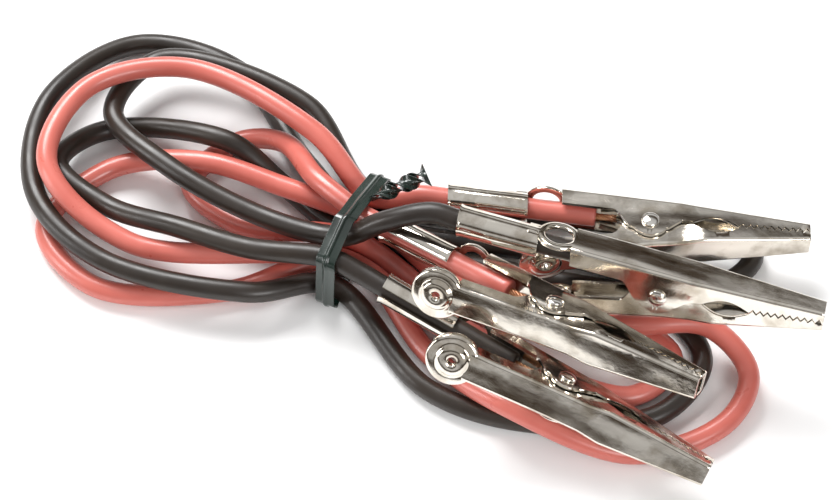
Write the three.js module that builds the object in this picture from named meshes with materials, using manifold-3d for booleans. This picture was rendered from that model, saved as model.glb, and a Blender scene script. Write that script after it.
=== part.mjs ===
import * as THREE from 'three';
import { mergeVertices } from 'three/addons/utils/BufferGeometryUtils.js';
import Module from 'manifold-3d';

// A tied pair of test leads: one red and one black flexible wire, each with a two-inch
// alligator clip at both ends, folded into a hank and held by a twist tie.
// Millimetres, +Z up, origin on the ground under the middle of the hank and its clips.

// Clip: its own frame has x towards the jaw tip, y along the pivot pin, z towards the thumb half.
const SHEET = 0.5;
const TIP_X = 22.5;
const WEB_AT_TIP = 1.5;
const WEB_SLOPE = 0.108;
const THUMB_HANDLE_SLOPE = 0.16;
const HANDLE_FLANGE = 2.7;
const EAR_RADIUS = 2.6;
const EAR_END = 4.4;
const MERGE_X = 7.625;
const JAW_GAP = 0.16;
const THROAT_START = 6;
const TEETH_START = 12.5;
const THROAT_DEPTH = 1.15;
const TOOTH_PITCH = 1;
const TOOTH_HEIGHT = 0.6;
const BEND_RADIUS = 0.5;
const HALF_WIDTH_AT_TIP = 1.65;
const HALF_WIDTH_AT_THROAT = 2.6;
const TERMINAL_EAR_HALF_WIDTH = 2.85;
const THUMB_EAR_HALF_WIDTH = 2.2;

const PAD_X = -14.5;
const THUMB_PAD_RADIUS = 3.7;
const PAD_RIM_DEPTH = 1;
const BOSS_OUTER_RADIUS = 2.3;
const BOSS_HEIGHT = 0.5;
const BOSS_HOLE_RADIUS = 0.55;
const RING_RADIUS = 3.1;
const RING_HOLE_RADIUS = 1.95;
const RING_RIM_DEPTH = 0.6;
const HANDLE_END_X = -12.4;

const WIRE_DIAMETER = 3;
const WIRE_CLEARANCE = 0.2;
const BARREL_FRONT_X = -17.2;
const BARREL_REAR_X = -28.5;
const BARREL_WALL = 0.45;
const BARREL_SEAM_ANGLE = 0.32;
const INSULATION_END_X = -7.5;

const PIN_RADIUS = 0.8;
const PIN_HOLE_CLEARANCE = 0.08;
const PIN_HEAD_RADIUS = 1.25;
const PIN_HEAD_HEIGHT = 0.5;

const SPRING_WIRE_RADIUS = 0.34;
const SPRING_COIL_RADIUS = 1.6;
const SPRING_TURNS = 3.5;
const SPRING_STEPS_PER_TURN = 8;

// Where each clip lies: its pivot, its heading about z, its pitch and its roll, in degrees.
const CLIPS = [
  { name: 'a', at: [32.3, -1.4, 6.9], heading: -2.3, pitch: 0.3, roll: 84.1 },
  { name: 'b', at: [32.9, -13.9, 12.95], heading: -13.8, pitch: -2.7, roll: 156.7 },
  { name: 'c', at: [17.7, -20, 14.4], heading: -30.1, pitch: -4.8, roll: 60.1 },
  { name: 'd', at: [18.9, -28.2, 8.15], heading: -27.4, pitch: 7.6, roll: 51.5 },
];

// The wires' centrelines between the clips: each lap of the hank passes the tie, goes round a
// loop on the left or on the right, and comes back to the tie.
const RED_ROUTE = [
  [-6.7, 5.6, 5.4], [-15, 14.4, 8.9],
  [-34, 26, 8.4], [-48, 22.5, 8.5], [-53, 9.5, 8.2], [-41, -1.6, 4.6], [-10.9, -4.7, 5.2],
  [-1.5, -11.2, 4.9], [29, -24.8, 1.6], [35.2, -18.9, 1.6],
  [29, -13.2, 1.8], [6, -8, 2.3], [-3.2, -1.5, 5.8], [-8, 2.4, 5],
  [-19.5, 7.6, 5], [-31.5, 12, 4.9], [-45, 12.6, 1.8], [-53.5, 3, 1.6],
  [-46, -7, 1.6], [-27, -7.8, 1.6], [-10.1, -2.5, 2.1],
  [1.5, -18.6, 2.2], [12.5, -28.6, 5.1], [29, -33.8, 1.8], [42, -29, 1.8], [45.5, -21.5, 2.4],
  [40, -15.6, 4.9], [30, -15.4, 5], [18, -14, 1.6], [3.5, -10.6, 3.2], [-9.4, -1.3, 5],
  [-26, 3.2, 1.9], [-33, 10.2, 1.8], [-26.5, 17.4, 1.8],
  [-19.8, 15.6, 4.5], [-14.4, 6.4, 8.6],
];
const BLACK_ROUTE = [
  [-5, -3.9, 13.6], [-10.8, -3.2, 8.8],
  [-21.5, 1, 6.8], [-36, 10, 6.8], [-44.5, 20.5, 5.3], [-38, 30, 4.9], [-16.5, 22, 4.9],
  [-6, 7.2, 2.1], [41.5, 3.8, 1.6], [47.5, -1.8, 1.6], [41.5, -7.2, 1.6],
  [20, -1.8, 1.6], [-7.5, 3.6, 2.1], [-16.5, 14, 1.6], [-27, 30.5, 1.7], [-42, 35, 1.8],
  [-54, 23, 4.8], [-55, 7, 4.9], [-45, -4.5, 4.9], [-24, -10, 4.9], [-12.2, -7.2, 2.1],
  [1, -23.6, 1.6], [15, -28.8, 1.6], [33, -27.6, 1.6], [39.3, -18.8, 1.6],
  [33, -10.2, 1.6], [15, -5.2, 1.6], [-8.8, 0.5, 2.1],
  [-19.5, 9.8, 1.8], [-27.5, 14.9, 5.7], [-46, 19.6, 1.6], [-52, 11.8, 4.6], [-44.5, 4.4, 4.9],
  [-34, -0.8, 7.4], [-24, -5, 8.6], [-12.6, -7.4, 9.8],
];
const WIRE_STEPS = 80;
const WIRE_SIDES = 8;
const WIRE_RUN_ON = 4;

// The tie: its middle, the heading of the strands through it, and the outermost strands,
// each as its distance across the bundle and its height.
const TIE_AT = [-8.8, 0.5];
const TIE_HEADING = -23;
const TIE_OUTER_STRANDS = [
  [7.8, 2.1], [-9.6, 2.1], [-10, 2.8], [-9.1, 9.9], [-3.6, 11], [0.4, 9.4], [6.6, 6.3],
];
const TIE_WIDTH = 3;
const TIE_THICKNESS = 0.4;
const TIE_SLACK = 0.15;
const TIE_CORNERS = 40;
const TAIL_AT = [-4.9, 2.4, 11.2];
const TAIL_PITCH = -12;
const TAIL_HEADING = 20;
const TAIL_LENGTH = 6.5;
const TAIL_TURNS = 1;

const BARED_RADIUS = 0.5;
const BARED_END_X = -4.6;

// How far the layout moves so that the origin is below the middle of everything.
const ORIGIN = [0.97, 1.96, -0.02];

const nickel = (tone) => new THREE.MeshStandardMaterial({ color: tone, roughness: 0.25, metalness: 1 });
const springSteel = () => new THREE.MeshStandardMaterial({ color: 0x6f6d68, roughness: 0.35, metalness: 1 });
const plastic = (tone) => new THREE.MeshStandardMaterial({ color: tone, roughness: 0.45, metalness: 0 });
const copper = () => new THREE.MeshStandardMaterial({ color: 0xb87348, roughness: 0.4, metalness: 1 });

const wasm = await Module();
wasm.setup();

// A closed mesh with only positions, shared vertices and no flat triangles.
function closedMesh(geometry) {
  let plain = geometry.clone();
  for (const name of Object.keys(plain.attributes)) {
    if (name !== 'position') plain.deleteAttribute(name);
  }
  plain = mergeVertices(plain, 1e-4);
  const kept = [];
  const index = plain.index.array;
  for (let i = 0; i < index.length; i += 3) {
    const [a, b, c] = [index[i], index[i + 1], index[i + 2]];
    if (a !== b && b !== c && c !== a) kept.push(a, b, c);
  }
  plain.setIndex(kept);
  return plain;
}

function toSolid(geometry) {
  const plain = closedMesh(geometry);
  return new wasm.Manifold(new wasm.Mesh({
    numProp: 3,
    vertProperties: new Float32Array(plain.attributes.position.array),
    triVerts: new Uint32Array(plain.index.array),
  }));
}

function toGeometry(solid) {
  const mesh = solid.getMesh();
  const geometry = new THREE.BufferGeometry();
  const positions = new Float32Array(mesh.numVert * 3);
  for (let i = 0; i < mesh.numVert; i += 1) {
    for (let k = 0; k < 3; k += 1) positions[i * 3 + k] = mesh.vertProperties[i * mesh.numProp + k];
  }
  geometry.setAttribute('position', new THREE.BufferAttribute(positions, 3));
  geometry.setIndex(Array.from(mesh.triVerts));
  geometry.computeVertexNormals();
  return geometry;
}

// Joins a row of outlines, each with the same number of [y, z] points, along x.
function loft(stations) {
  const count = stations[0].outline.length;
  const positions = [];
  const index = [];
  for (const station of stations) {
    for (const [y, z] of station.outline) positions.push(station.x, y, z);
  }
  for (let s = 0; s + 1 < stations.length; s += 1) {
    for (let i = 0; i < count; i += 1) {
      const next = (i + 1) % count;
      const a = s * count + i;
      const b = s * count + next;
      index.push(a, b, a + count, b, b + count, a + count);
    }
  }
  const cap = (outline, offset, flipped) => {
    const points = outline.map(([y, z]) => new THREE.Vector2(y, z));
    for (const [a, b, c] of THREE.ShapeUtils.triangulateShape(points, [])) {
      if (flipped) index.push(offset + a, offset + c, offset + b);
      else index.push(offset + a, offset + b, offset + c);
    }
  };
  cap(stations[0].outline, 0, true);
  cap(stations.at(-1).outline, (stations.length - 1) * count, false);
  const geometry = new THREE.BufferGeometry();
  geometry.setAttribute('position', new THREE.Float32BufferAttribute(positions, 3));
  geometry.setIndex(index);
  return geometry;
}

// The folded sheet's section: two walls down from a web, with rounded bends.
function channelSection(half, web, edge) {
  const b = BEND_RADIUS;
  const outer = [
    [half, edge],
    [half, web - b],
    [half - b, web],
  ];
  const inner = [
    [half - SHEET, web - SHEET - 0.1],
    [half - SHEET, edge],
  ];
  const mirrored = (points) => points.map(([y, z]) => [-y, z]).reverse();
  return [...outer, ...mirrored(outer), ...mirrored(inner), ...inner];
}

const mix = (from, to, t) => from + (to - from) * Math.min(1, Math.max(0, t));

// The fold line of a half: one straight run from the tip, steeper behind the pin on the thumb half.
function webHeight(x, handleSlope) {
  if (x >= 0) return WEB_AT_TIP + WEB_SLOPE * (TIP_X - x);
  return WEB_AT_TIP + WEB_SLOPE * TIP_X - handleSlope * x;
}

function halfWidth(x, earHalfWidth) {
  if (x < EAR_END) return earHalfWidth;
  if (x < MERGE_X) return mix(earHalfWidth, HALF_WIDTH_AT_THROAT, (x - EAR_END) / (MERGE_X - EAR_END));
  return mix(HALF_WIDTH_AT_THROAT, HALF_WIDTH_AT_TIP, (x - MERGE_X) / (TIP_X - MERGE_X));
}

// The free edge of a half's walls. side is +1 on the thumb half and -1 on the terminal half:
// the teeth of one half nest between the teeth of the other.
function edgeHeight(x, side, handleSlope) {
  if (x >= TEETH_START) {
    const phase = ((x - TEETH_START) / TOOTH_PITCH) % 1;
    const tooth = TOOTH_HEIGHT * (Math.abs(phase - 0.5) * 2 - 0.5);
    return JAW_GAP + side * tooth;
  }
  if (x >= THROAT_START) {
    const t = (x - THROAT_START) / (TEETH_START - THROAT_START);
    return JAW_GAP + side * TOOTH_HEIGHT / 2 * t + THROAT_DEPTH * Math.sin(Math.PI * t);
  }
  if (x >= EAR_RADIUS) return mix(-1.2, JAW_GAP, (x - EAR_RADIUS) / (EAR_END - EAR_RADIUS));
  if (x >= -EAR_RADIUS) return -Math.sqrt(Math.max(EAR_RADIUS ** 2 - x ** 2, 1.2 ** 2));
  const flange = webHeight(x, handleSlope) - HANDLE_FLANGE;
  return mix(-1.2, flange, (-EAR_RADIUS - x) / 2.6);
}

function channelStations(side, handleSlope, earHalfWidth) {
  const places = [HANDLE_END_X, -5.2, -2.6, -2.25, -1.2, 0, 1.2, 2.25, EAR_RADIUS, EAR_END];
  for (let i = 0; i <= 4; i += 1) places.push(mix(THROAT_START, TEETH_START, i / 4));
  const teeth = Math.round((TIP_X - TEETH_START) / TOOTH_PITCH);
  for (let i = 1; i <= 2 * teeth; i += 1) places.push(TEETH_START + i * TOOTH_PITCH / 2);
  return places.map((x) => {
    const web = webHeight(x, handleSlope);
    const half = halfWidth(x, earHalfWidth);
    const edge = edgeHeight(x, side, handleSlope);
    return { x, outline: channelSection(half, web, edge) };
  });
}

function cylinderAlongY(radius, length, segments) {
  return new THREE.CylinderGeometry(radius, radius, length, segments);
}

// A round pad turned about its own axis, then laid in line with the handle's web.
function padSolid(profile, segments, handleSlope) {
  const points = profile.map(([r, h]) => new THREE.Vector2(r, h)).reverse();
  const geometry = closedMesh(new THREE.LatheGeometry(points, segments));
  geometry.rotateX(Math.PI / 2);
  geometry.rotateY(Math.atan(handleSlope));
  geometry.translate(PAD_X, 0, webHeight(PAD_X, handleSlope) - 0.03);
  return toSolid(geometry);
}

function nosePlate() {
  const height = WEB_AT_TIP - 0.75;
  const plate = new THREE.BoxGeometry(SHEET, 2 * HALF_WIDTH_AT_TIP - 0.6, height);
  plate.translate(TIP_X - SHEET / 2 - 0.05, 0, WEB_AT_TIP - 0.12 - height / 2);
  return toSolid(plate);
}

function pinHole(earHalfWidth) {
  return toSolid(cylinderAlongY(PIN_RADIUS + PIN_HOLE_CLEARANCE, 2 * earHalfWidth + 2, 16));
}

function thumbHalf() {
  const stations = channelStations(1, THUMB_HANDLE_SLOPE, THUMB_EAR_HALF_WIDTH);
  const r = THUMB_PAD_RADIUS;
  const pad = padSolid([
    [BOSS_HOLE_RADIUS, -SHEET],
    [BOSS_HOLE_RADIUS, BOSS_HEIGHT],
    [BOSS_OUTER_RADIUS - 0.3, BOSS_HEIGHT],
    [BOSS_OUTER_RADIUS, 0],
    [r - 0.3, 0],
    [r, -0.3],
    [r, -PAD_RIM_DEPTH],
    [r - SHEET, -PAD_RIM_DEPTH],
    [r - SHEET, -SHEET],
    [BOSS_HOLE_RADIUS, -SHEET],
  ], 16, THUMB_HANDLE_SLOPE);
  const whole = toSolid(loft(stations)).add(pad).add(nosePlate());
  return whole.subtract(pinHole(THUMB_EAR_HALF_WIDTH));
}

// The open barrel that grips the insulation: a C-shaped wall drawn along the handle's slope.
function barrelAxisHeight(x) {
  return webHeight(x, WEB_SLOPE) - SHEET - WIRE_CLEARANCE - WIRE_DIAMETER / 2;
}

function barrelSolid() {
  const inner = WIRE_DIAMETER / 2 + WIRE_CLEARANCE;
  const outer = inner + BARREL_WALL;
  const shape = new THREE.Shape();
  const start = -Math.PI / 2 + BARREL_SEAM_ANGLE;
  const end = (3 * Math.PI) / 2 - BARREL_SEAM_ANGLE;
  shape.absarc(0, 0, outer, start, end, false);
  shape.absarc(0, 0, inner, end, start, true);
  const length = BARREL_FRONT_X - BARREL_REAR_X;
  const geometry = closedMesh(new THREE.ExtrudeGeometry(shape, {
    depth: length, bevelEnabled: false, curveSegments: 9,
  }));
  geometry.rotateX(Math.PI / 2);
  geometry.rotateZ(Math.PI / 2);
  geometry.rotateY(Math.atan(WEB_SLOPE));
  geometry.translate(BARREL_REAR_X, 0, barrelAxisHeight(BARREL_REAR_X));
  return toSolid(geometry);
}

function neckSolid() {
  const front = PAD_X - RING_HOLE_RADIUS - 0.3;
  const rear = BARREL_FRONT_X - 1.6;
  const thickness = 0.3;
  const neck = new THREE.BoxGeometry(front - rear, 2.2, thickness);
  neck.translate(0, 0, -SHEET / 2 - 0.03);
  neck.rotateY(Math.atan(WEB_SLOPE));
  neck.translate((front + rear) / 2, 0, webHeight((front + rear) / 2, WEB_SLOPE));
  return toSolid(neck);
}

// The terminal half is made thumb side up, then mirrored through the jaw line.
function terminalHalf() {
  const stations = channelStations(-1, WEB_SLOPE, TERMINAL_EAR_HALF_WIDTH);
  const r = RING_RADIUS;
  const ring = padSolid([
    [RING_HOLE_RADIUS, -SHEET],
    [RING_HOLE_RADIUS, 0],
    [r - 0.3, 0],
    [r, -0.3],
    [r, -RING_RIM_DEPTH],
    [r - SHEET, -RING_RIM_DEPTH],
    [r - SHEET, -SHEET],
    [RING_HOLE_RADIUS, -SHEET],
  ], 16, WEB_SLOPE);
  const whole = toSolid(loft(stations)).add(ring).add(neckSolid()).add(barrelSolid()).add(nosePlate());
  return whole.subtract(pinHole(TERMINAL_EAR_HALF_WIDTH)).mirror([0, 0, 1]);
}

// The rivet through both pairs of ears.
function rivetGeometry() {
  const reach = TERMINAL_EAR_HALF_WIDTH + 0.05;
  const profile = [
    [0, -reach - PIN_HEAD_HEIGHT],
    [PIN_HEAD_RADIUS * 0.7, -reach - PIN_HEAD_HEIGHT],
    [PIN_HEAD_RADIUS, -reach - PIN_HEAD_HEIGHT * 0.4],
    [PIN_HEAD_RADIUS, -reach],
    [PIN_RADIUS, -reach],
    [PIN_RADIUS, reach],
    [PIN_HEAD_RADIUS, reach],
    [PIN_HEAD_RADIUS, reach + PIN_HEAD_HEIGHT * 0.4],
    [PIN_HEAD_RADIUS * 0.7, reach + PIN_HEAD_HEIGHT],
    [0, reach + PIN_HEAD_HEIGHT],
  ];
  return new THREE.LatheGeometry(profile.map(([r, y]) => new THREE.Vector2(r, y)), 12);
}

// A many-sided section of a given radius.
function roundSection(radius, sides) {
  const section = new THREE.Shape();
  for (let i = 0; i < sides; i += 1) {
    const angle = (i / sides) * 2 * Math.PI;
    const x = radius * Math.cos(angle);
    const y = radius * Math.sin(angle);
    if (i === 0) section.moveTo(x, y);
    else section.lineTo(x, y);
  }
  section.closePath();
  return section;
}

// The round section drawn along straight runs between points.
function polylineTube(points, radius, sides) {
  const path = new THREE.CurvePath();
  const vectors = points.map((p) => new THREE.Vector3(...p));
  for (let i = 0; i + 1 < vectors.length; i += 1) path.add(new THREE.LineCurve3(vectors[i], vectors[i + 1]));
  return new THREE.ExtrudeGeometry(roundSection(radius, sides), {
    steps: 44, extrudePath: path, bevelEnabled: false, curveSegments: 1,
  });
}

// The torsion spring: turns about the pin, and one straight leg inside each handle.
function springGeometry() {
  const pitch = 2 * SPRING_WIRE_RADIUS + 0.04;
  const halfSpan = (SPRING_TURNS * pitch) / 2;
  const legEnd = -6.8;
  const room = SHEET + SPRING_WIRE_RADIUS + 0.2;
  const lower = room - webHeight(legEnd, WEB_SLOPE);
  const upper = webHeight(legEnd, THUMB_HANDLE_SLOPE) - room;
  const points = [[legEnd, -halfSpan, lower]];
  const steps = SPRING_TURNS * SPRING_STEPS_PER_TURN;
  for (let i = 0; i <= steps; i += 1) {
    const angle = -Math.PI / 2 - 0.3 + (i / steps) * (SPRING_TURNS * 2 * Math.PI + 0.6);
    const y = mix(-halfSpan, halfSpan, (i - 1) / (steps - 2));
    points.push([SPRING_COIL_RADIUS * Math.cos(angle), y, SPRING_COIL_RADIUS * Math.sin(angle)]);
  }
  points.push([legEnd, halfSpan, upper]);
  return polylineTube(points, SPRING_WIRE_RADIUS, 6);
}

// A wire's straight end: its insulation's end, the barrel's mouth and a little way out of it.
function wireEnd(clip) {
  return [INSULATION_END_X, BARREL_REAR_X, BARREL_REAR_X - WIRE_RUN_ON].map((x) => (
    new THREE.Vector3(x, 0, -barrelAxisHeight(x)).applyMatrix4(clip.matrix)
  ));
}

// A wire: eight flat sides drawn along its smooth centreline from one clip to another.
function wireGeometry(from, route, to) {
  const middle = route.map((p) => new THREE.Vector3(...p));
  const points = [...wireEnd(from), ...middle, ...wireEnd(to).reverse()];
  const path = new THREE.CatmullRomCurve3(points, false, 'centripetal');
  path.arcLengthDivisions = 10 * WIRE_STEPS;
  return new THREE.ExtrudeGeometry(roundSection(WIRE_DIAMETER / 2, WIRE_SIDES), {
    steps: WIRE_STEPS, extrudePath: path, bevelEnabled: false, curveSegments: 1,
  });
}

// The bared strands that run on from the insulation towards the pin.
function conductorGeometry() {
  const start = INSULATION_END_X + 0.3;
  const geometry = new THREE.CylinderGeometry(BARED_RADIUS, BARED_RADIUS, BARED_END_X - start, 8);
  geometry.rotateZ(-Math.PI / 2);
  geometry.rotateY(-Math.atan(WEB_SLOPE));
  const middle = (start + BARED_END_X) / 2;
  geometry.translate(middle, 0, -barrelAxisHeight(middle));
  return geometry;
}

// The outline of a band pulled tight round some circles of one radius.
function tightOutline(centres, radius) {
  const outline = [];
  for (let i = 0; i < TIE_CORNERS; i += 1) {
    const angle = ((i + 0.5) / TIE_CORNERS) * 2 * Math.PI;
    const [across, up] = [Math.cos(angle), Math.sin(angle)];
    const reach = ([y, z]) => y * across + z * up;
    const [y, z] = centres.reduce((best, c) => (reach(c) > reach(best) ? c : best));
    outline.push(new THREE.Vector2(y + radius * across, z + radius * up));
  }
  return outline;
}

function tieBandGeometry() {
  const inner = WIRE_DIAMETER / 2 + TIE_SLACK;
  const band = new THREE.Shape(tightOutline(TIE_OUTER_STRANDS, inner + TIE_THICKNESS));
  band.holes.push(new THREE.Path(tightOutline(TIE_OUTER_STRANDS, inner).reverse()));
  const geometry = new THREE.ExtrudeGeometry(band, { depth: TIE_WIDTH, bevelEnabled: false });
  geometry.translate(0, 0, -TIE_WIDTH / 2);
  geometry.rotateX(Math.PI / 2);
  geometry.rotateZ(Math.PI / 2);
  return geometry;
}

// The two ends of the tie, twisted round each other into one short tail.
function tieTailGeometry() {
  const stations = [];
  const steps = 12;
  for (let i = 0; i <= steps; i += 1) {
    const angle = (i / steps) * TAIL_TURNS * 2 * Math.PI;
    const corners = [[1.2, 0.4], [-1.2, 0.4], [-1.2, -0.4], [1.2, -0.4]];
    const outline = corners.map(([y, z]) => [
      y * Math.cos(angle) - z * Math.sin(angle),
      y * Math.sin(angle) + z * Math.cos(angle),
    ]);
    stations.push({ x: (i / steps) * TAIL_LENGTH, outline });
  }
  return loft(stations);
}

const layout = new THREE.Group();
layout.position.set(...ORIGIN);
const object = new THREE.Group();
object.add(layout);

function addMesh(parent, name, geometry, material) {
  const mesh = new THREE.Mesh(geometry, material);
  mesh.name = name;
  parent.add(mesh);
}

const thumbGeometry = toGeometry(thumbHalf());
const terminalGeometry = toGeometry(terminalHalf());
const clips = {};
for (const { name, at, heading, pitch, roll } of CLIPS) {
  const clip = new THREE.Group();
  clip.position.set(...at);
  const radians = THREE.MathUtils.degToRad;
  clip.rotation.set(radians(roll), radians(pitch), radians(heading), 'ZYX');
  addMesh(clip, `terminal_jaw_${name}`, terminalGeometry, nickel(0xb9b4aa));
  addMesh(clip, `thumb_jaw_${name}`, thumbGeometry, nickel(0xc2beb5));
  addMesh(clip, `rivet_${name}`, rivetGeometry(), nickel(0xcfcbc2));
  addMesh(clip, `spring_${name}`, springGeometry(), springSteel());
  addMesh(clip, `conductor_${name}`, conductorGeometry(), copper());
  clip.updateMatrix();
  clips[name] = clip;
  layout.add(clip);
}

addMesh(layout, 'red_wire', wireGeometry(clips.a, RED_ROUTE, clips.c), plastic(0xd8705f));
addMesh(layout, 'black_wire', wireGeometry(clips.b, BLACK_ROUTE, clips.d), plastic(0x2b2a27));

const tie = new THREE.Group();
tie.position.set(...TIE_AT, 0);
tie.rotation.z = THREE.MathUtils.degToRad(TIE_HEADING);
addMesh(tie, 'tie_band', tieBandGeometry(), plastic(0x20302a));
layout.add(tie);

const tail = new THREE.Group();
tail.position.set(...TAIL_AT);
tail.rotation.set(0, THREE.MathUtils.degToRad(TAIL_PITCH), THREE.MathUtils.degToRad(TAIL_HEADING), 'ZYX');
addMesh(tail, 'tie_tail', tieTailGeometry(), plastic(0x20302a));
layout.add(tail);

export default object;
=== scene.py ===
"""A tied hank of two test leads with four alligator clips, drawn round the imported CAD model.

Everything is in metres in the model's own frame. Lengths are named in millimetres below and
multiplied by MM where they are used.
"""
import math

import bmesh
import bpy
from mathutils import Euler, Matrix, Vector


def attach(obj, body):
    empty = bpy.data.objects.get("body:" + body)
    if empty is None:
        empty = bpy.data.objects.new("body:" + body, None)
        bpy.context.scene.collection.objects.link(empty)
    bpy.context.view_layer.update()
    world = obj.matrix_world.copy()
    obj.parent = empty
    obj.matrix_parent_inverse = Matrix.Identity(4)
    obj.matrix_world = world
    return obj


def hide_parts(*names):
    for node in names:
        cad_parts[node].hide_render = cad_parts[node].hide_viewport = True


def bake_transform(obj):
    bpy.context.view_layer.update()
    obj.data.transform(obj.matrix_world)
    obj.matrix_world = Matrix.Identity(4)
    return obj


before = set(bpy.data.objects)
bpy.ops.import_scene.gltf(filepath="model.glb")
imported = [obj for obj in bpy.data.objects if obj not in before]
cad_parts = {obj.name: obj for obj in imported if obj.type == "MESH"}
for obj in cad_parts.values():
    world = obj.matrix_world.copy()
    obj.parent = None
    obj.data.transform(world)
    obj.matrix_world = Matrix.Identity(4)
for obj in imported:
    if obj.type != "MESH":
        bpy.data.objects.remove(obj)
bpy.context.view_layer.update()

MM = 0.001
ROOT = "hank"

# The clip's driving sizes, the same as the CAD model's. A clip's own axes have the pivot at zero, the
# tips towards +x, the rivet along y, the thumb jaw above and the terminal jaw below.
SHEET = 0.5
TIP_X = 22.5
WEB_AT_TIP = 1.5
WEB_SLOPE = 0.108
THUMB_HANDLE_SLOPE = 0.16
HANDLE_FLANGE = 2.7
EAR_RADIUS = 2.6
EAR_END = 4.4
MERGE_X = 7.625
JAW_GAP = 0.16
THROAT_START = 6
TEETH_START = 12.5
THROAT_DEPTH = 1.15
TOOTH_PITCH = 1
TOOTH_HEIGHT = 0.6
BEND_RADIUS = 0.5
HALF_WIDTH_AT_TIP = 1.65
HALF_WIDTH_AT_THROAT = 2.6
TERMINAL_EAR_HALF_WIDTH = 2.85
THUMB_EAR_HALF_WIDTH = 2.2
PAD_X = -14.5
THUMB_PAD_RADIUS = 3.7
PAD_RIM_DEPTH = 1
BOSS_OUTER_RADIUS = 2.3
BOSS_HEIGHT = 0.5
BOSS_HOLE_RADIUS = 0.55
RING_RADIUS = 3.1
RING_HOLE_RADIUS = 1.95
RING_RIM_DEPTH = 0.6
HANDLE_END_X = -12.4
WIRE_DIAMETER = 3
WIRE_CLEARANCE = 0.2
BARREL_FRONT_X = -17.2
BARREL_REAR_X = -28.5
BARREL_WALL = 0.45
BARREL_SEAM_ANGLE = 0.32
INSULATION_END_X = -7.5
WIRE_RUN_ON = 4
PIN_RADIUS = 0.8
PIN_HOLE_CLEARANCE = 0.08
PIN_HEAD_RADIUS = 1.25
PIN_HEAD_HEIGHT = 0.5
SPRING_WIRE_RADIUS = 0.34
SPRING_COIL_RADIUS = 1.6
SPRING_TURNS = 3.5
BARED_END_X = -4.6

# The clip's small details, which only this drawing has. Angles are in radians.
BEND_STEPS = 6
INNER_BEND_RADIUS = 0.12
EAR_SHOULDER_DEPTH = 1.2
FLANGE_BLEND_LENGTH = 2.6
HANDLE_STEPS = 3
FLANGE_STEPS = 6
HALF_EAR_PLACES = [0.5, 1, 1.5, 1.9, 2.25]
THROAT_STEPS = 14
PHASE_MARGIN = 1e-6
EDGE_BEVEL = 0.07
PAD_SEGMENTS = 64
PAD_SINK = 0.03
NOSE_DEPTH = 0.75
NOSE_INSET = 0.05
NOSE_TOP_GAP = 0.12
NOSE_SIDE_GAP = 0.3
PIN_SEGMENTS = 40
PIN_HOLE_OVERRUN = 1
PIN_HEAD_STEPS = 8
PIN_HEAD_SIDE_SHARE = 0.25
PIN_HEAD_FOOT = 0.05
PIN_PLAY = 0.05
PIN_TOP_RADIUS = 0.001
WELD_DISTANCE = 0.005
BARREL_STEPS = 44
BARREL_MIDDLE_STEPS = 8
BARREL_MOUTH_PLACES = [0, 0.25, 0.6]
BARREL_MOUTH_LENGTH = 1.2
BARREL_LAST_STEP = 0.5
BARREL_FLARE = 0.16
BARREL_FLARE_LENGTH = 0.7
NECK_HALF_WIDTH = 1.1
NECK_TOP_DEPTH = 0.13
NECK_LOW_DEPTH = 0.43
NECK_RING_LAP = 0.3
NECK_BARREL_LAP = 1.6
SPRING_COIL_GAP = 0.04
SPRING_LEG_END_X = -6.8
SPRING_LEG_ROOM = 0.2
SPRING_STEPS_PER_TURN = 32
SPRING_EXTRA_ANGLE = 0.3
SPRING_OVERRUN = 0.04
SPRING_LEG_STEPS = 8
SPRING_SIDES = 14
OUTER_STRANDS = 6
STRAND_RADIUS = 0.165
STRAND_RING_RADIUS = 0.34
STRAND_STEPS = 24
STRAND_SIDES = 8
STRAND_TWIST = 1.5
STRAND_HIDDEN_LENGTH = 0.6
STRAND_STAGGER = 0.15
STRAND_SPREAD = 0.12
STRAND_SPREAD_START = 1.2

# How round shapes are cut up and shaded. Angles are in degrees.
LINE_STEP = 0.9
WIRE_SIDES = 28
# A tube's rounded end: how far along it each ring lies and how much smaller it is, in round-offs.
TUBE_ROUND_OFF = 0.18
TUBE_END_RINGS = [(0, 1), (0.35, 0.3), (1, 0)]
BEVEL_ANGLE = 32
SHARP_ANGLE = 40
RIVET_SHARP_ANGLE = 45
WIRE_SHARP_ANGLE = 50

# Where the hank lies in the model's frame.
ORIGIN = (0.97, 1.96, -0.02)

# Where each clip lies: its pivot, then its heading about z, its pitch and its roll in degrees.
CLIPS = {
    "a": ((32.3, -1.4, 6.9), -2.3, 0.3, 84.1),
    "b": ((32.9, -13.9, 12.95), -13.8, -2.7, 156.7),
    "c": ((17.7, -20, 14.4), -30.1, -4.8, 60.1),
    "d": ((18.9, -28.2, 8.15), -27.4, 7.6, 51.5),
}

# The wires' centrelines between the clips, the same points as the CAD model's.
RED_ROUTE = [
    (-6.7, 5.6, 5.4), (-15, 14.4, 8.9),
    (-34, 26, 8.4), (-48, 22.5, 8.5), (-53, 9.5, 8.2), (-41, -1.6, 4.6), (-10.9, -4.7, 5.2),
    (-1.5, -11.2, 4.9), (29, -24.8, 1.6), (35.2, -18.9, 1.6),
    (29, -13.2, 1.8), (6, -8, 2.3), (-3.2, -1.5, 5.8), (-8, 2.4, 5),
    (-19.5, 7.6, 5), (-31.5, 12, 4.9), (-45, 12.6, 1.8), (-53.5, 3, 1.6),
    (-46, -7, 1.6), (-27, -7.8, 1.6), (-10.1, -2.5, 2.1),
    (1.5, -18.6, 2.2), (12.5, -28.6, 5.1), (29, -33.8, 1.8), (42, -29, 1.8), (45.5, -21.5, 2.4),
    (40, -15.6, 4.9), (30, -15.4, 5), (18, -14, 1.6), (3.5, -10.6, 3.2), (-9.4, -1.3, 5),
    (-26, 3.2, 1.9), (-33, 10.2, 1.8), (-26.5, 17.4, 1.8),
    (-19.8, 15.6, 4.5), (-14.4, 6.4, 8.6),
]
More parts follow.
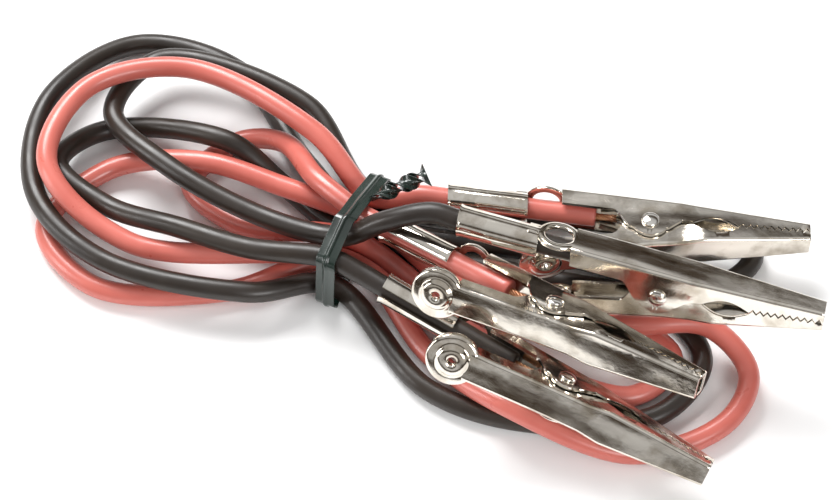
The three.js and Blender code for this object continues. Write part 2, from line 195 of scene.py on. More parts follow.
BLACK_ROUTE = [
    (-5, -3.9, 13.6), (-10.8, -3.2, 8.8),
    (-21.5, 1, 6.8), (-36, 10, 6.8), (-44.5, 20.5, 5.3), (-38, 30, 4.9), (-16.5, 22, 4.9),
    (-6, 7.2, 2.1), (41.5, 3.8, 1.6), (47.5, -1.8, 1.6), (41.5, -7.2, 1.6),
    (20, -1.8, 1.6), (-7.5, 3.6, 2.1), (-16.5, 14, 1.6), (-27, 30.5, 1.7), (-42, 35, 1.8),
    (-54, 23, 4.8), (-55, 7, 4.9), (-45, -4.5, 4.9), (-24, -10, 4.9), (-12.2, -7.2, 2.1),
    (1, -23.6, 1.6), (15, -28.8, 1.6), (33, -27.6, 1.6), (39.3, -18.8, 1.6),
    (33, -10.2, 1.6), (15, -5.2, 1.6), (-8.8, 0.5, 2.1),
    (-19.5, 9.8, 1.8), (-27.5, 14.9, 5.7), (-46, 19.6, 1.6), (-52, 11.8, 4.6), (-44.5, 4.4, 4.9),
    (-34, -0.8, 7.4), (-24, -5, 8.6), (-12.6, -7.4, 9.8),
]

# The tie: where it crosses the hank, which way it faces, and the strands it is pulled round, each
# as its place across the hank and its height.
TIE_AT = (-8.8, 0.5)
TIE_HEADING = -23
TIE_OUTER_STRANDS = [
    (7.8, 2.1), (-9.6, 2.1), (-10, 2.8), (-9.1, 9.9), (-3.6, 11), (0.4, 9.4), (6.6, 6.3),
]
TIE_WIDTH = 2.8
TIE_FILM = 0.13
TIE_CORE = 0.26
TIE_CORE_WIDENING = 1.25
TIE_CORE_ANGLES = (0.3, 0.8, 1.3, 1.84, 2.34, 2.84)
TIE_CORE_FOOT = 0.5
TIE_GAP = 0.18
TIE_CORNERS = 96
TIE_SWAY = 0.22
TIE_SWAY_WAVES = 2
TIE_SWAY_START = 0.6
TIE_BEVEL = 0.04

# The tie's two twisted ends. A section is given as points across and out of one ribbon.
TAIL_AT = (-4.9, 2.4, 11.2)
TAIL_PITCH = -12
TAIL_HEADING = 20
TAIL_LENGTH = 6.5
TAIL_TURNS = 1
TAIL_NECK = 2.2
TAIL_NECK_SHARE = 0.3
TAIL_NECK_BLEND = 0.6
TAIL_STEPS = 120
TAIL_OFFSET = 0.38
TAIL_SPLIT = 0.72
TAIL_SPREAD = 9
TAIL_BEVEL = 0.03
TAIL_SECTION = [
    (-1.15, -0.1), (1.15, -0.1), (1.15, 0.1), (0.4, 0.1), (0.28, 0.24), (0, 0.32),
    (-0.28, 0.24), (-0.4, 0.1), (-1.15, 0.1),
]


# ---------------------------------------------------------------- meshes

def new_object(name, vertices, faces, at=None):
    """A closed mesh with outward faces, given in millimetres, stored in metres."""
    mesh = bpy.data.meshes.new(name)
    mesh.from_pydata([tuple(c * MM for c in v) for v in vertices], [], faces)
    build = bmesh.new()
    build.from_mesh(mesh)
    bmesh.ops.recalc_face_normals(build, faces=build.faces)
    build.to_mesh(mesh)
    build.free()
    obj = bpy.data.objects.new(name, mesh)
    bpy.context.scene.collection.objects.link(obj)
    if at is not None:
        obj.matrix_world = at
    return obj


def wall_faces(count, sections, closed=False):
    """Quads between neighbouring outlines of count points; closed joins the last to the first."""
    faces = []
    for s in range(sections if closed else sections - 1):
        here = s * count
        ahead = (s + 1) % sections * count
        for i in range(count):
            j = (i + 1) % count
            faces.append((here + i, here + j, ahead + j, ahead + i))
    return faces


def loft(outlines):
    """Vertices and faces of a row of closed outlines, each a list of points of one length."""
    count = len(outlines[0])
    vertices = [point for outline in outlines for point in outline]
    faces = wall_faces(count, len(outlines))
    faces.append(tuple(range(count - 1, -1, -1)))
    faces.append(tuple(range(len(vertices) - count, len(vertices))))
    return vertices, faces


def sheet_loft(outlines):
    """A loft for a thin bent sheet: its end faces are quads from the sheet's one side to the other."""
    count = len(outlines[0])
    vertices = [point for outline in outlines for point in outline]
    faces = wall_faces(count, len(outlines))
    for start in (0, len(vertices) - count):
        for i in range(count // 2 - 1):
            other = count - 1 - i
            faces.append((start + i, start + i + 1, start + other - 1, start + other))
    return vertices, faces


def turned(profile, segments):
    """A closed profile of (radius, height) points turned about z."""
    vertices = []
    for k in range(segments):
        angle = 2 * math.pi * k / segments
        for r, h in profile:
            vertices.append((r * math.cos(angle), r * math.sin(angle), h))
    return vertices, wall_faces(len(profile), segments, closed=True)


def tube(points, radius, sides):
    """A round tube along a line, its section carried along without twist, with rounded ends."""
    line = [Vector(p) for p in points]
    tangents = []
    for i in range(len(line)):
        ahead = line[min(i + 1, len(line) - 1)]
        behind = line[max(i - 1, 0)]
        tangents.append((ahead - behind).normalized())
    side = tangents[0].orthogonal().normalized()
    axes = []
    for tangent in tangents:
        side = (side - tangent * side.dot(tangent)).normalized()
        axes.append((side.copy(), tangent.cross(side)))
    rings = []

    def ring(centre, across, r):
        """Adds one round section."""
        rings.append([
            centre + r * (math.cos(2 * math.pi * k / sides) * across[0]
                          + math.sin(2 * math.pi * k / sides) * across[1])
            for k in range(sides)
        ])

    round_off = TUBE_ROUND_OFF * radius
    for along, smaller in TUBE_END_RINGS:
        ring(line[0] + tangents[0] * round_off * along, axes[0], radius - smaller * round_off)
    for i in range(1, len(line) - 1):
        ring(line[i], axes[i], radius)
    for along, smaller in reversed(TUBE_END_RINGS):
        ring(line[-1] - tangents[-1] * round_off * along, axes[-1], radius - smaller * round_off)
    return loft([[tuple(p) for p in r] for r in rings])


def smooth_line(points, step):
    """A centripetal curve through the points, the same as the CAD model's, cut into equal steps."""
    pts = [Vector(p) for p in points]
    pts = [2 * pts[0] - pts[1]] + pts + [2 * pts[-1] - pts[-2]]
    out = []
    for i in range(1, len(pts) - 2):
        p0, p1, p2, p3 = pts[i - 1], pts[i], pts[i + 1], pts[i + 2]
        t0 = (p1 - p0).length ** 0.5
        t1 = (p2 - p1).length ** 0.5
        t2 = (p3 - p2).length ** 0.5
        m1 = ((p1 - p0) / t0 - (p2 - p0) / (t0 + t1) + (p2 - p1) / t1) * t1
        m2 = ((p2 - p1) / t1 - (p3 - p1) / (t1 + t2) + (p3 - p2) / t2) * t1
        a = 2 * p1 - 2 * p2 + m1 + m2
        b = -3 * p1 + 3 * p2 - 2 * m1 - m2
        steps = max(2, round((p2 - p1).length / step))
        for k in range(steps):
            t = k / steps
            out.append(((a * t + b) * t + m1) * t + p1)
    out.append(pts[-2].copy())
    return out


def join(base, others, operation="UNION"):
    """Joins the other solids to base, or cuts them from it, and deletes them."""
    for other in others:
        step = base.modifiers.new("join", "BOOLEAN")
        step.operation = operation
        step.solver = "MANIFOLD"
        step.object = other
        settle(base)
        bpy.data.objects.remove(other, do_unlink=True)


def settle(obj):
    """Applies the object's modifiers."""
    bpy.context.view_layer.update()
    done = obj.evaluated_get(bpy.context.evaluated_depsgraph_get())
    mesh = bpy.data.meshes.new_from_object(done)
    obj.modifiers.clear()
    obj.data = mesh


def shade_round(obj, sharp_angle=None):
    """Shades the faces smooth, apart from the edges that are sharper than the angle in degrees."""
    obj.data.shade_smooth()
    if sharp_angle is not None:
        obj.data.set_sharp_from_angle(angle=math.radians(sharp_angle))


def soften(obj, width):
    """Rounds the sharp edges and shades the faces smooth between what stays sharp."""
    bevel = obj.modifiers.new("edges", "BEVEL")
    bevel.width = width * MM
    bevel.segments = 2
    bevel.limit_method = "ANGLE"
    bevel.angle_limit = math.radians(BEVEL_ANGLE)
    bevel.use_clamp_overlap = True
    settle(obj)
    shade_round(obj, SHARP_ANGLE)
    normals = obj.modifiers.new("normals", "WEIGHTED_NORMAL")
    normals.keep_sharp = True
    settle(obj)


# ---------------------------------------------------------------- clip halves

def mix(a, b, t):
    """The value t of the way from a to b, and no further than either."""
    return a + (b - a) * min(1, max(0, t))


def web_height(x, handle_slope):
    """How far the sheet's back is from the clip's middle plane: least at the tip, most at the handle."""
    slope = WEB_SLOPE if x >= 0 else handle_slope
    return WEB_AT_TIP + WEB_SLOPE * TIP_X - slope * x


def half_width(x, ear_half_width):
    """Half the sheet's width: even along the handle and ears, then the throat's, then narrowing."""
    if x < EAR_END:
        return ear_half_width
    if x < MERGE_X:
        return mix(ear_half_width, HALF_WIDTH_AT_THROAT, (x - EAR_END) / (MERGE_X - EAR_END))
    return mix(HALF_WIDTH_AT_THROAT, HALF_WIDTH_AT_TIP, (x - MERGE_X) / (TIP_X - MERGE_X))


def edge_height(x, side, handle_slope):
    """Where the sheet's open edge runs; side is 1 or -1, so that one jaw's teeth fit the other's."""
    if x >= TEETH_START:
        phase = ((x - TEETH_START) / TOOTH_PITCH + PHASE_MARGIN) % 1
        return JAW_GAP + side * TOOTH_HEIGHT * (abs(phase - 0.5) * 2 - 0.5)
    if x >= THROAT_START:
        t = (x - THROAT_START) / (TEETH_START - THROAT_START)
        return JAW_GAP + side * TOOTH_HEIGHT / 2 * t + THROAT_DEPTH * math.sin(math.pi * t)
    if x >= EAR_RADIUS:
        return mix(-EAR_SHOULDER_DEPTH, JAW_GAP, (x - EAR_RADIUS) / (EAR_END - EAR_RADIUS))
    if x >= -EAR_RADIUS:
        return -math.sqrt(max(EAR_RADIUS ** 2 - x ** 2, EAR_SHOULDER_DEPTH ** 2))
    flange = web_height(x, handle_slope) - HANDLE_FLANGE
    t = min(1, max(0, (-EAR_RADIUS - x) / FLANGE_BLEND_LENGTH))
    return mix(-EAR_SHOULDER_DEPTH, flange, t * t * (3 - 2 * t))


def channel_section(x, half, web, edge):
    """The folded sheet's section, with rounded bends, as points for one place along the clip."""
    outer = [(half, edge)]
    inner = [(half - SHEET, edge)]
    for k in range(BEND_STEPS + 1):
        angle = math.pi / 2 * k / BEND_STEPS
        c, s = math.cos(angle), math.sin(angle)
        outer.append((half - BEND_RADIUS + BEND_RADIUS * c, web - BEND_RADIUS + BEND_RADIUS * s))
        inner.append((half - SHEET - INNER_BEND_RADIUS + INNER_BEND_RADIUS * c,
                      web - SHEET - INNER_BEND_RADIUS + INNER_BEND_RADIUS * s))
    outer += [(-y, z) for y, z in reversed(outer)]
    inner += [(-y, z) for y, z in reversed(inner)]
    return [(x, y, z) for y, z in outer + inner[::-1]]


def channel(name, side, handle_slope, ear_half_width):
    """A clip half's long folded sheet, from the handle's end to the toothed tip."""
    blend_start = -EAR_RADIUS - FLANGE_BLEND_LENGTH
    places = [mix(HANDLE_END_X, blend_start, k / HANDLE_STEPS) for k in range(HANDLE_STEPS)]
    places += [mix(blend_start, -EAR_RADIUS, k / FLANGE_STEPS) for k in range(FLANGE_STEPS + 1)]
    places += [-x for x in reversed(HALF_EAR_PLACES)] + [0] + HALF_EAR_PLACES
    places += [EAR_RADIUS, (EAR_RADIUS + EAR_END) / 2, EAR_END, (EAR_END + THROAT_START) / 2]
    places += [mix(THROAT_START, TEETH_START, k / THROAT_STEPS) for k in range(THROAT_STEPS + 1)]
    teeth = round((TIP_X - TEETH_START) / TOOTH_PITCH)
    places += [TEETH_START + k * TOOTH_PITCH / 2 for k in range(1, 2 * teeth + 1)]
    sections = [
        channel_section(x, half_width(x, ear_half_width), web_height(x, handle_slope),
                        edge_height(x, side, handle_slope))
        for x in places
    ]
    return new_object(name, *sheet_loft(sections))


def pad(name, profile, handle_slope):
    """A round finger pad on the handle's back, from a turned profile."""
    height = web_height(PAD_X, handle_slope) - PAD_SINK
    at = (Matrix.Translation(Vector((PAD_X, 0, height)) * MM)
          @ Matrix.Rotation(math.atan(handle_slope), 4, "Y"))
    return new_object(name, *turned(profile, PAD_SEGMENTS), at)


def block(name, x0, x1, half, top, bottom):
    """A block across the clip whose top and bottom follow the given heights at x."""
    stations = [
        [(x, -half, bottom(x)), (x, half, bottom(x)), (x, half, top(x)), (x, -half, top(x))]
        for x in (x0, x1)
    ]
    return new_object(name, *loft(stations))


def nose():
    """The small wall that closes a jaw's tip."""
    top = WEB_AT_TIP - NOSE_TOP_GAP
    return block("nose", TIP_X - SHEET - NOSE_INSET, TIP_X - NOSE_INSET,
                 HALF_WIDTH_AT_TIP - NOSE_SIDE_GAP, lambda x: top, lambda x: top - NOSE_DEPTH)


def pin_hole(ear_half_width):
    """The round bar that cuts the rivet's hole through both ears."""
    radius = PIN_RADIUS + PIN_HOLE_CLEARANCE
    reach = ear_half_width + PIN_HOLE_OVERRUN
    angles = [2 * math.pi * k / PIN_SEGMENTS for k in range(PIN_SEGMENTS)]
    return new_object("hole", *loft([
        [(radius * math.cos(a), y, radius * math.sin(a)) for a in angles] for y in (-reach, reach)
    ]))


def thumb_half():
    """The upper half: the folded sheet with the round thumb pad and its pierced boss."""
    base = channel("thumb_half", 1, THUMB_HANDLE_SLOPE, THUMB_EAR_HALF_WIDTH)
    r = THUMB_PAD_RADIUS
    b = BOSS_OUTER_RADIUS
    top = BOSS_HEIGHT
    # From the hole's wall over the boss to the flat, then round the rim to the underside.
    disc = pad("disc", [
        (BOSS_HOLE_RADIUS, -SHEET), (BOSS_HOLE_RADIUS, top - 0.28), (BOSS_HOLE_RADIUS + 0.12, top - 0.1),
        (BOSS_HOLE_RADIUS + 0.4, top), (b - 0.75, top), (b - 0.45, top - 0.07), (b - 0.22, top - 0.24),
        (b - 0.05, 0.1), (b + 0.12, 0.02), (b + 0.35, 0), (r - 0.5, 0), (r - 0.2, -0.08),
        (r - 0.05, -0.24), (r, -0.5), (r, -PAD_RIM_DEPTH), (r - SHEET, -PAD_RIM_DEPTH),
        (r - SHEET, -SHEET - 0.12), (r - SHEET - 0.15, -SHEET),
    ], THUMB_HANDLE_SLOPE)
    join(base, [disc, nose()])
    join(base, [pin_hole(THUMB_EAR_HALF_WIDTH)], "DIFFERENCE")
    soften(base, EDGE_BEVEL)
    return base


def barrel_axis_height(x):
    """How far the wire's centreline is from the clip's middle plane, measured towards the web."""
    return web_height(x, WEB_SLOPE) - SHEET - WIRE_CLEARANCE - WIRE_DIAMETER / 2


def barrel():
    """The open barrel: a C-shaped wall that flares a little at its rear mouth."""
    start = -math.pi / 2 + BARREL_SEAM_ANGLE
    end = 3 * math.pi / 2 - BARREL_SEAM_ANGLE
    angles = [mix(start, end, k / BARREL_STEPS) for k in range(BARREL_STEPS + 1)]
    places = [BARREL_REAR_X + x for x in BARREL_MOUTH_PLACES]
    places += [mix(BARREL_REAR_X + BARREL_MOUTH_LENGTH, BARREL_FRONT_X - BARREL_LAST_STEP,
                   k / BARREL_MIDDLE_STEPS) for k in range(BARREL_MIDDLE_STEPS + 1)]
    places += [BARREL_FRONT_X]
    sections = []
    for x in places:
        flare = BARREL_FLARE * max(0, 1 - (x - BARREL_REAR_X) / BARREL_FLARE_LENGTH) ** 2
        up = barrel_axis_height(x)
        inner = WIRE_DIAMETER / 2 + WIRE_CLEARANCE
        outer = inner + BARREL_WALL + flare
        inner += flare
        outside = [(x, outer * math.cos(a), up + outer * math.sin(a)) for a in angles]
        inside = [(x, inner * math.cos(a), up + inner * math.sin(a)) for a in angles]
        sections.append(outside + inside[::-1])
    return new_object("barrel", *sheet_loft(sections))


def terminal_half():
    """The lower half, with the ringed pad and the barrel, drawn upright and then mirrored downwards."""
    base = channel("terminal_half", -1, WEB_SLOPE, TERMINAL_EAR_HALF_WIDTH)
    r = RING_RADIUS
    h = RING_HOLE_RADIUS
    # From the hole's wall over the flat, then round the rim to the underside.
    ring = pad("ring", [
        (h, -SHEET), (h, -0.22), (h + 0.1, -0.06), (h + 0.28, 0), (r - 0.45, 0), (r - 0.18, -0.07),
        (r - 0.04, -0.22), (r, -0.42), (r, -RING_RIM_DEPTH), (r - SHEET, -RING_RIM_DEPTH),
        (r - SHEET, -SHEET - 0.05), (r - SHEET - 0.08, -SHEET),
    ], WEB_SLOPE)
    front = PAD_X - RING_HOLE_RADIUS - NECK_RING_LAP
    rear = BARREL_FRONT_X - NECK_BARREL_LAP
    neck = block("neck", rear, front, NECK_HALF_WIDTH,
                 lambda x: web_height(x, WEB_SLOPE) - NECK_TOP_DEPTH,
                 lambda x: web_height(x, WEB_SLOPE) - NECK_LOW_DEPTH)
    join(base, [ring, neck, barrel(), nose()])
    join(base, [pin_hole(TERMINAL_EAR_HALF_WIDTH)], "DIFFERENCE")
    base.data.transform(Matrix.Scale(-1, 4, (0, 0, 1)))
    base.data.flip_normals()
    soften(base, EDGE_BEVEL)
    return base


def rivet():
    """The pin with a domed head at both ends, turned about z and then laid along y."""
    reach = TERMINAL_EAR_HALF_WIDTH + PIN_PLAY
    head = [(PIN_TOP_RADIUS, PIN_HEAD_HEIGHT)]
    for k in range(1, PIN_HEAD_STEPS + 1):
        angle = math.pi / 2 * k / PIN_HEAD_STEPS
        share = PIN_HEAD_SIDE_SHARE + (1 - PIN_HEAD_SIDE_SHARE) * math.cos(angle)
        head.append((PIN_HEAD_RADIUS * math.sin(angle), PIN_HEAD_HEIGHT * share))
    head.append((PIN_HEAD_RADIUS, PIN_HEAD_FOOT))
    head.append((PIN_HEAD_RADIUS - PIN_HEAD_FOOT, 0))
    head.append((PIN_RADIUS, 0))
    profile = [(r, reach + h) for r, h in head]
    profile += [(r, -reach - h) for r, h in reversed(head)]
    obj = new_object("rivet", *turned(profile, PIN_SEGMENTS))
    obj.data.transform(Matrix.Rotation(math.pi / 2, 4, "X"))
    build = bmesh.new()
    build.from_mesh(obj.data)
    bmesh.ops.remove_doubles(build, verts=build.verts, dist=WELD_DISTANCE * MM)
    bmesh.ops.recalc_face_normals(build, faces=build.faces)
    build.to_mesh(obj.data)
    build.free()
    shade_round(obj, RIVET_SHARP_ANGLE)
    return obj


def spring_line():
    """The torsion spring's centreline, leg, coil and leg, and half the coil's length along the rivet."""
    pitch = 2 * SPRING_WIRE_RADIUS + SPRING_COIL_GAP
    half_span = SPRING_TURNS * pitch / 2
    room = SHEET + SPRING_WIRE_RADIUS + SPRING_LEG_ROOM
    lower = room - web_height(SPRING_LEG_END_X, WEB_SLOPE)
    upper = web_height(SPRING_LEG_END_X, THUMB_HANDLE_SLOPE) - room
    steps = round(SPRING_TURNS * SPRING_STEPS_PER_TURN)
    whole_angle = SPRING_TURNS * 2 * math.pi + 2 * SPRING_EXTRA_ANGLE
    coil = []
    for i in range(steps + 1):
        angle = -math.pi / 2 - SPRING_EXTRA_ANGLE + i / steps * whole_angle
        y = mix(-half_span, half_span, i / steps * (1 + 2 * SPRING_OVERRUN) - SPRING_OVERRUN)
        coil.append(Vector((SPRING_COIL_RADIUS * math.cos(angle), y, SPRING_COIL_RADIUS * math.sin(angle))))
    first = Vector((SPRING_LEG_END_X, -half_span, lower))
    last = Vector((SPRING_LEG_END_X, half_span, upper))
    shares = [k / SPRING_LEG_STEPS for k in range(SPRING_LEG_STEPS + 1)]
    points = [first.lerp(coil[0], share) for share in shares[:-1]] + coil
    points += [coil[-1].lerp(last, share) for share in shares[1:]]
    return points, half_span


def strand_line(index):
    """One copper strand out of the insulation's end: the last one straight, the others twisted round it."""
    radius = 0 if index == OUTER_STRANDS else STRAND_RING_RADIUS
    start = INSULATION_END_X - STRAND_HIDDEN_LENGTH
    end = BARED_END_X - STRAND_STAGGER * (index % 3)
    points = []
    for k in range(STRAND_STEPS + 1):
        x = mix(start, end, k / STRAND_STEPS)
        angle = 2 * math.pi * index / OUTER_STRANDS + (x - start) * STRAND_TWIST
        bared = max(0, x - INSULATION_END_X - STRAND_SPREAD_START)
        spread = radius * (1 + STRAND_SPREAD * bared)
        up = -barrel_axis_height(x)
        points.append((x, spread * math.cos(angle), up + spread * math.sin(angle)))
    return points


# ---------------------------------------------------------------- materials

def new_material(name):
    """A material with its node tree and its surface shader."""
    material = bpy.data.materials.new(name)
    material.use_nodes = True
    tree = material.node_tree
    return material, tree, tree.nodes["Principled BSDF"]


def noise(tree, coordinate, scale, detail, stretch=None):
    """A noise texture over the given coordinates, scaled in repeats per metre."""
    source = coordinate
    if stretch is not None:
        mapping = tree.nodes.new("ShaderNodeMapping")
        mapping.inputs["Scale"].default_value = stretch
        tree.links.new(coordinate, mapping.inputs["Vector"])
        source = mapping.outputs["Vector"]
    texture = tree.nodes.new("ShaderNodeTexNoise")
    texture.inputs["Scale"].default_value = scale
    texture.inputs["Detail"].default_value = detail
    tree.links.new(source, texture.inputs["Vector"])
    return texture.outputs["Fac"]


def ramp(tree, factor, stops):
    """A colour ramp; each stop is a place and a grey level or a colour."""
    node = tree.nodes.new("ShaderNodeValToRGB")
    elements = node.color_ramp.elements
    while len(elements) < len(stops):
        elements.new(0.5)
    for element, (place, colour) in zip(elements, stops):
        element.position = place
        element.color = (*colour, 1) if isinstance(colour, tuple) else (colour, colour, colour, 1)
    tree.links.new(factor, node.inputs["Fac"])
    return node.outputs["Color"]


def bumps(tree, shader, layers):
    """Stacks height textures; each layer is a height, a strength and a distance in millimetres."""
    last = None
    for height, strength, distance in layers:
        node = tree.nodes.new("ShaderNodeBump")
        node.inputs["Strength"].default_value = strength
        node.inputs["Distance"].default_value = distance * MM
        tree.links.new(height, node.inputs["Height"])
        if last is not None:
            tree.links.new(last, node.inputs["Normal"])
        last = node.outputs["Normal"]
    tree.links.new(last, shader.inputs["Normal"])


def uneven_gloss(tree, shader, pattern, low, high):
    """Lets the roughness follow a pattern between two values."""
    gloss = tree.nodes.new("ShaderNodeMapRange")
    gloss.inputs["From Min"].default_value = 0.3
    gloss.inputs["From Max"].default_value = 0.7
    gloss.inputs["To Min"].default_value = low
    gloss.inputs["To Max"].default_value = high
    tree.links.new(pattern, gloss.inputs["Value"])
    tree.links.new(gloss.outputs["Result"], shader.inputs["Roughness"])


def metal(name, dark, bright, rough_low, rough_high, relief):
    """Plated or drawn metal: cloudy tarnish, uneven gloss, faint drawing lines, waves and small dents."""
    material, tree, shader = new_material(name)
    shader.inputs["Metallic"].default_value = 1
    own = tree.nodes.new("ShaderNodeTexCoord").outputs["Object"]
    cloud = noise(tree, own, 260, 5)
    fine = noise(tree, own, 2600, 3)
    lines = noise(tree, own, 900, 4, stretch=(0.12, 1, 1))
    tree.links.new(ramp(tree, cloud, [(0.3, dark), (0.52, bright)]), shader.inputs["Base Color"])
    uneven_gloss(tree, shader, lines, rough_low, rough_high)
    swell = noise(tree, own, 170, 1, stretch=(0.3, 1, 1))
    bumps(tree, shader, [(swell, 0.8 * relief, 0.75), (cloud, 0.4 * relief, 0.16),
                         (lines, 0.25 * relief, 0.02), (fine, 0.3 * relief, 0.008)])
    return material


def plastic(name, dark, bright, roughness, coat, grain):
    """Soft plastic: cloudy tone, uneven gloss, slight waviness and a fine grain."""
    material, tree, shader = new_material(name)
    own = tree.nodes.new("ShaderNodeTexCoord").outputs["Object"]
    cloud = noise(tree, own, 90, 4)
    wave = noise(tree, own, 330, 2)
    fine = noise(tree, own, 3500, 3)
    tree.links.new(ramp(tree, cloud, [(0.35, dark), (0.65, bright)]), shader.inputs["Base Color"])
    uneven_gloss(tree, shader, wave, roughness - 0.06, roughness + 0.08)
    shader.inputs["Coat Weight"].default_value = coat
    shader.inputs["Coat Roughness"].default_value = 0.25
    shader.inputs["IOR"].default_value = 1.52
    bumps(tree, shader, [(wave, 0.25, 0.12), (fine, grain, 0.01)])
    return material


NICKEL = metal("nickel_plate", (0.47, 0.41, 0.33), (0.83, 0.78, 0.7), 0.08, 0.18, 0.7)
RIVET_NICKEL = metal("rivet_plate", (0.56, 0.52, 0.45), (0.84, 0.81, 0.76), 0.08, 0.18, 0.6)
SPRING_STEEL = metal("spring_wire", (0.3, 0.28, 0.26), (0.52, 0.5, 0.47), 0.22, 0.4, 0.7)
COPPER = metal("copper_strand", (0.55, 0.25, 0.12), (0.82, 0.46, 0.28), 0.22, 0.4, 0.6)
RED_PVC = plastic("red_insulation", (0.52, 0.115, 0.088), (0.64, 0.165, 0.13), 0.33, 0.2, 0.12)
BLACK_PVC = plastic("black_insulation", (0.014, 0.0088, 0.006), (0.026, 0.018, 0.0125), 0.38, 0.05, 0.12)
TIE_PLASTIC = plastic("tie_film", (0.006, 0.012, 0.009), (0.012, 0.03, 0.022), 0.2, 0.5, 0.2)


def finish(obj, material, nodes, body=ROOT):
    """Gives a piece its material, hides the CAD nodes that it stands for, and hangs it on the body it rides
    on, if it rides on one.
    """
    obj.data.materials.clear()
    obj.data.materials.append(material)
    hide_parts(*nodes)
    if body is not None:
        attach(obj, body)


# ---------------------------------------------------------------- camera

TARGET = Vector(ORIGIN) * MM
ELEVATION = math.radians(58)
DISTANCE = 0.4
camera_data = bpy.data.cameras.new("camera")
camera_data.lens = 120
camera_data.sensor_width = 36
camera = bpy.data.objects.new("camera", camera_data)
camera.location = TARGET + DISTANCE * Vector((0, -math.cos(ELEVATION), math.sin(ELEVATION)))
camera.rotation_euler = (math.pi / 2 - ELEVATION, 0, 0)
bpy.context.scene.collection.objects.link(camera)
bpy.context.scene.camera = camera

# ---------------------------------------------------------------- wires

PLACE = Matrix.Translation(Vector(ORIGIN) * MM)


def clip_matrix(name):
    """Where a clip's own axes lie in the model's frame."""
    at, heading, pitch, roll = CLIPS[name]
    turn = Euler((math.radians(roll), math.radians(pitch), math.radians(heading)), "XYZ")
    return PLACE @ Matrix.Translation(Vector(at) * MM) @ turn.to_matrix().to_4x4()


def wire_end(name):
    """The insulation's end, the barrel's mouth and a little way out of it, in metres."""
    places = (INSULATION_END_X, BARREL_REAR_X, BARREL_REAR_X - WIRE_RUN_ON)
    return [clip_matrix(name) @ (Vector((x, 0, -barrel_axis_height(x))) * MM) for x in places]


def wire(name, start, route, end, material, node):
    """One lead's insulation, from inside one clip's barrel along the route into another's."""
    middle = [PLACE @ (Vector(p) * MM) for p in route]
    points = [p / MM for p in wire_end(start) + middle + wire_end(end)[::-1]]
    line = smooth_line(points, LINE_STEP)
    obj = new_object(name, *tube(line, WIRE_DIAMETER / 2, WIRE_SIDES))
    shade_round(obj, WIRE_SHARP_ANGLE)
    finish(obj, material, [node])


wire("red_lead", "a", RED_ROUTE, "c", RED_PVC, "red_wire")
wire("black_lead", "b", BLACK_ROUTE, "d", BLACK_PVC, "black_wire")

# ---------------------------------------------------------------- clips

thumb_shape = thumb_half()
terminal_shape = terminal_half()
rivet_shape = rivet()
spring_points, spring_half_span = spring_line()


def copy_of(shape, name, at):
    """Another object with the same mesh, in its own place."""
    obj = bpy.data.objects.new(name, shape.data)
    bpy.context.scene.collection.objects.link(obj)
    obj.matrix_world = at
    return obj


for clip in CLIPS:
    at = clip_matrix(clip)
    finish(copy_of(terminal_shape, f"terminal_half_{clip}", at), NICKEL, [f"terminal_jaw_{clip}"])
    finish(copy_of(thumb_shape, f"thumb_half_{clip}", at), NICKEL, [f"thumb_jaw_{clip}"],
           f"thumb_{clip}")
    finish(copy_of(rivet_shape, f"pin_{clip}", at), RIVET_NICKEL, [f"rivet_{clip}"])

    spring = new_object(f"torsion_{clip}", *tube(spring_points, SPRING_WIRE_RADIUS, SPRING_SIDES), at)
    shade_round(spring)
    finish(spring, SPRING_STEEL, [f"spring_{clip}"], None)
    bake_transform(spring)

    for index in range(OUTER_STRANDS + 1):
        strand = new_object(f"strand_{clip}_{index}",
                            *tube(strand_line(index), STRAND_RADIUS, STRAND_SIDES), at)
        shade_round(strand)
        finish(strand, COPPER, [f"conductor_{clip}"])

for shape in (thumb_shape, terminal_shape, rivet_shape):
    bpy.data.objects.remove(shape, do_unlink=True)

# ---------------------------------------------------------------- tie

def tight_outline(centres, radius, corners):
    """A band pulled tight round equal circles: each corner's place, then the direction it faces."""
    outline = []
    for i in range(corners):
        angle = (i + 0.5) / corners * 2 * math.pi
        across, up = math.cos(angle), math.sin(angle)
        y, z = max(centres, key=lambda c: c[0] * across + c[1] * up)
        outline.append((y + radius * across, z + radius * up, across, up))
    return outline


def tie_band():
    """The ribbon: two thin wings of film on a round core wire, pulled round the strands."""
    half = TIE_WIDTH / 2
    shape = [(-half, -TIE_FILM), (half, -TIE_FILM), (half, TIE_FILM), (TIE_CORE_FOOT, TIE_FILM)]
    shape += [(TIE_CORE * TIE_CORE_WIDENING * math.cos(a), TIE_FILM + TIE_CORE * math.sin(a))
              for a in TIE_CORE_ANGLES]
    shape += [(-TIE_CORE_FOOT, TIE_FILM), (-half, TIE_FILM)]
    outline = tight_outline(TIE_OUTER_STRANDS, WIRE_DIAMETER / 2 + TIE_GAP, TIE_CORNERS)
    vertices = []
    for k, (y, z, across, up) in enumerate(outline):
        sway = TIE_SWAY * math.sin(2 * math.pi * k / TIE_CORNERS * TIE_SWAY_WAVES + TIE_SWAY_START)
        vertices += [(along + sway, y + across * out, z + up * out) for along, out in shape]
    faces = wall_faces(len(shape), TIE_CORNERS, closed=True)
    at = (PLACE @ Matrix.Translation(Vector((*TIE_AT, 0)) * MM)
          @ Matrix.Rotation(math.radians(TIE_HEADING), 4, "Z"))
    obj = new_object("tie_ribbon", vertices, faces, at)
    soften(obj, TIE_BEVEL)
    return obj


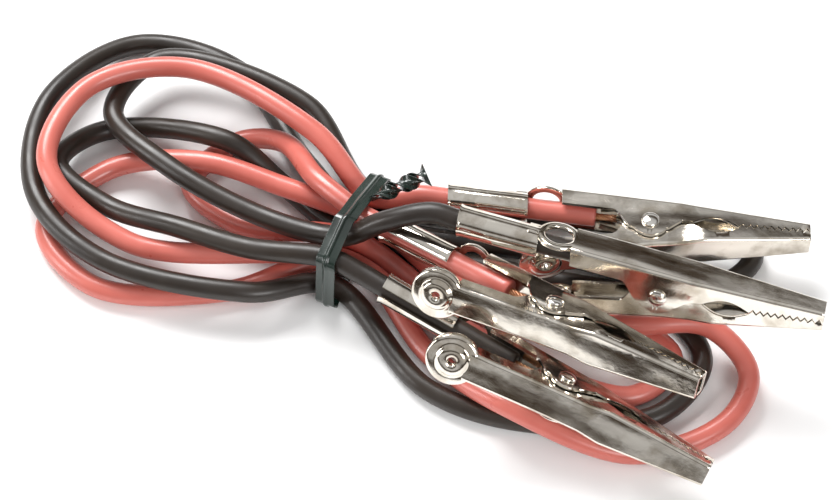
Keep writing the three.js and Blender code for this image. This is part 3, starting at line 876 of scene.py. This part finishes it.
def tie_tail(name, turn):
    """One end of the ribbon, wound round the other, from a thin neck at the band to its free tip."""
    sections = []
    for i in range(TAIL_STEPS + 1):
        x = mix(-TAIL_NECK, TAIL_LENGTH, i / TAIL_STEPS)
        t = x / TAIL_LENGTH
        angle = t * TAIL_TURNS * 2 * math.pi + turn
        c, s = math.cos(angle), math.sin(angle)
        open_up = TAIL_SPREAD * max(0, t - TAIL_SPLIT) ** 2
        width = mix(TAIL_NECK_SHARE, 1, (x + TAIL_NECK) / (TAIL_NECK + TAIL_NECK_BLEND))
        side_y = TAIL_OFFSET * math.cos(angle + math.pi / 2) + open_up * c
        side_z = TAIL_OFFSET * math.sin(angle + math.pi / 2) + open_up * s
        sections.append([
            (x, width * (side_y + across * c - out * s), width * (side_z + across * s + out * c))
            for across, out in TAIL_SECTION
        ])
    turn_to = Euler((0, math.radians(TAIL_PITCH), math.radians(TAIL_HEADING)), "XYZ")
    at = PLACE @ Matrix.Translation(Vector(TAIL_AT) * MM) @ turn_to.to_matrix().to_4x4()
    obj = new_object(name, *loft(sections), at)
    soften(obj, TAIL_BEVEL)
    return obj


finish(tie_band(), TIE_PLASTIC, ["tie_band"])
finish(tie_tail("tie_end_one", 0), TIE_PLASTIC, ["tie_tail"])
finish(tie_tail("tie_end_two", math.pi), TIE_PLASTIC, ["tie_tail"])

# ---------------------------------------------------------------- floor and light

FLOOR_REACH = 3
floor_mesh = bpy.data.meshes.new("floor")
floor_mesh.from_pydata([(-FLOOR_REACH, -FLOOR_REACH, 0), (FLOOR_REACH, -FLOOR_REACH, 0),
                        (FLOOR_REACH, FLOOR_REACH, 0), (-FLOOR_REACH, FLOOR_REACH, 0)],
                       [], [(0, 1, 2, 3)])
floor = bpy.data.objects.new("floor", floor_mesh)
bpy.context.scene.collection.objects.link(floor)
floor_material, _, floor_shader = new_material("paper")
floor_shader.inputs["Base Color"].default_value = (0.93, 0.93, 0.93, 1)
floor_shader.inputs["Roughness"].default_value = 0.9
floor_shader.inputs["Specular IOR Level"].default_value = 0.1
floor_mesh.materials.append(floor_material)


def softbox(name, location, size_x, size_y, watts):
    """A rectangular light that faces the origin, in metres and watts."""
    light = bpy.data.lights.new(name, "AREA")
    light.shape = "RECTANGLE"
    light.size = size_x
    light.size_y = size_y
    light.energy = watts
    obj = bpy.data.objects.new(name, light)
    obj.location = location
    obj.rotation_euler = (-Vector(location)).to_track_quat("-Z", "Y").to_euler()
    bpy.context.scene.collection.objects.link(obj)


softbox("key", (-0.25, 0.5, 0.62), 0.5, 0.34, 9)
softbox("front", (0.35, -0.6, 0.5), 0.4, 0.18, 3.2)
softbox("side", (-0.75, -0.15, 0.32), 0.14, 0.5, 2.2)

# The surroundings that the metal mirrors: each band is a height, from 0 at the horizon to 1 overhead, and
# a brightness or a colour.
WORLD_BANDS = [
    (0, (0.05, 0.035, 0.025)), (0.16, (0.09, 0.065, 0.045)), (0.26, 0.85), (0.42, 1.0),
    (0.52, (0.13, 0.1, 0.075)), (0.64, (0.07, 0.05, 0.035)), (0.76, 0.8), (1.0, 1.0),
]
WORLD_STRENGTH = 0.62

world = bpy.data.worlds.new("studio")
bpy.context.scene.world = world
world.use_nodes = True
sky = world.node_tree
background = sky.nodes["Background"]
direction = sky.nodes.new("ShaderNodeTexCoord").outputs["Generated"]
split = sky.nodes.new("ShaderNodeSeparateXYZ")
sky.links.new(direction, split.inputs["Vector"])
sky.links.new(ramp(sky, split.outputs["Z"], WORLD_BANDS), background.inputs["Color"])
background.inputs["Strength"].default_value = WORLD_STRENGTH

bpy.context.scene.view_settings.view_transform = "Standard"
